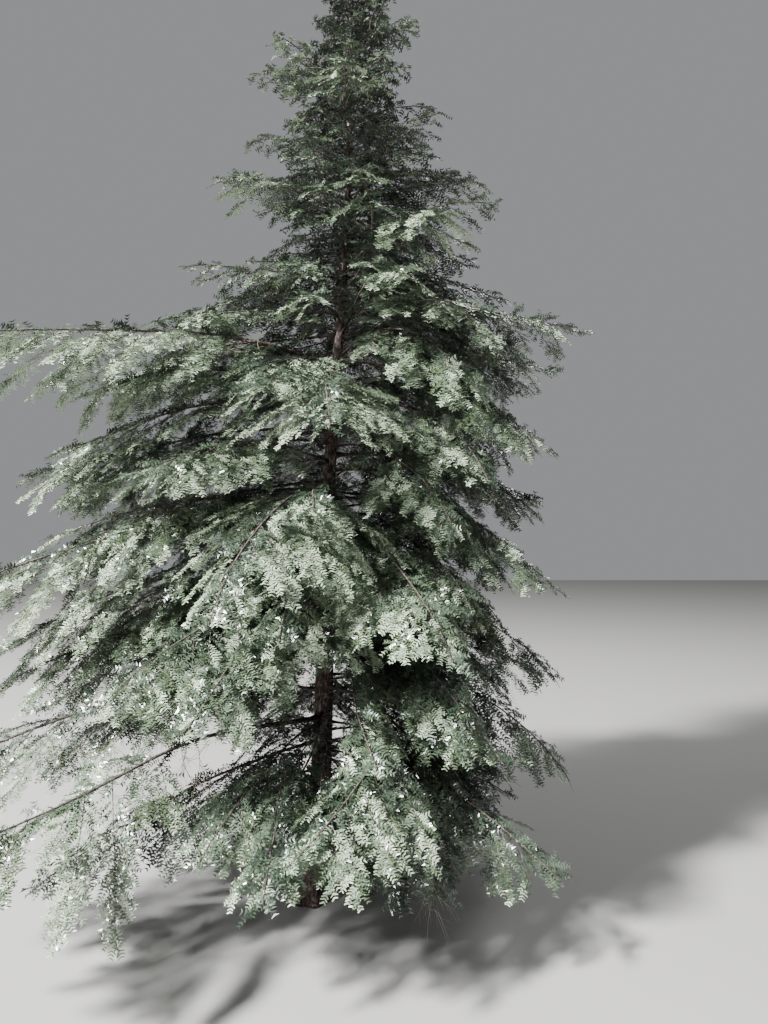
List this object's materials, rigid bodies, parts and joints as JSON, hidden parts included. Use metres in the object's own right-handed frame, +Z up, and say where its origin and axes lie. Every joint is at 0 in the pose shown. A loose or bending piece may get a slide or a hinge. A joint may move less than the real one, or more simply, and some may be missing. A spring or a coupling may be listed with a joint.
{
  "type": "eastern hemlock tree",
  "caption": "Young forest conifer with a slim leaning trunk and long level boughs whose layered fans of short flat needles droop at their tips.",
  "frame": {"origin": "centre of the flat cut under the trunk, at ground level", "axes": "+Z up the tree, +X to its right as the picture shows it, -Y towards the viewer"},
  "size_m": [2.7525, 2.3994, 4.7402],
  "materials": {
    "bark": "rough, scaly purplish brown bark with greyer flakes",
    "limb_bark": "thin, finely ridged grey-brown bark",
    "needles": "satin dark bluish green needles, paler at the tips"
  },
  "bodies": {
    "root": {"trunk": "bark", "bough_left_high": "limb_bark", "bough_left_upper": "limb_bark", "bough_left_back": "limb_bark", "bough_left_middle": "limb_bark", "bough_left_low": "limb_bark", "bough_left_front": "limb_bark", "bough_front_low": "limb_bark", "bough_right_high": "limb_bark", "bough_right_upper": "limb_bark", "bough_right_back": "limb_bark", "bough_right_low": "limb_bark", "bough_right_ground": "limb_bark", "foliage_left_high": "needles", "foliage_left_upper": "needles", "foliage_left_back": "needles", "foliage_left_middle": "needles", "foliage_left_low": "needles", "foliage_left_front": "needles", "foliage_front_low": "needles", "foliage_right_high": "needles", "foliage_right_upper": "needles", "foliage_right_back": "needles", "foliage_right_low": "needles", "foliage_right_ground": "needles", "foliage_front_high": "needles", "foliage_front_middle": "needles", "foliage_front_right": "needles", "foliage_front_left": "needles", "foliage_right_middle": "needles", "foliage_right_waist": "needles", "foliage_right_front": "needles", "foliage_left_waist": "needles", "foliage_front_foot": "needles", "foliage_front_ground": "needles", "foliage_back_1": "needles", "foliage_back_2": "needles", "foliage_back_3": "needles", "foliage_back_4": "needles", "foliage_back_5": "needles", "foliage_back_6": "needles", "foliage_back_7": "needles", "foliage_back_8": "needles", "foliage_back_9": "needles", "foliage_top_1": "needles", "foliage_top_2": "needles", "foliage_top_3": "needles", "foliage_top_4": "needles", "foliage_top_5": "needles", "foliage_top_6": "needles", "foliage_top_7": "needles", "foliage_top_8": "needles", "foliage_top_9": "needles", "foliage_top_10": "needles", "foliage_top_11": "needles", "foliage_top_12": "needles", "foliage_top_13": "needles", "foliage_top_14": "needles", "foliage_top_15": "needles", "foliage_leader": "needles"}
  },
  "joints": []
}
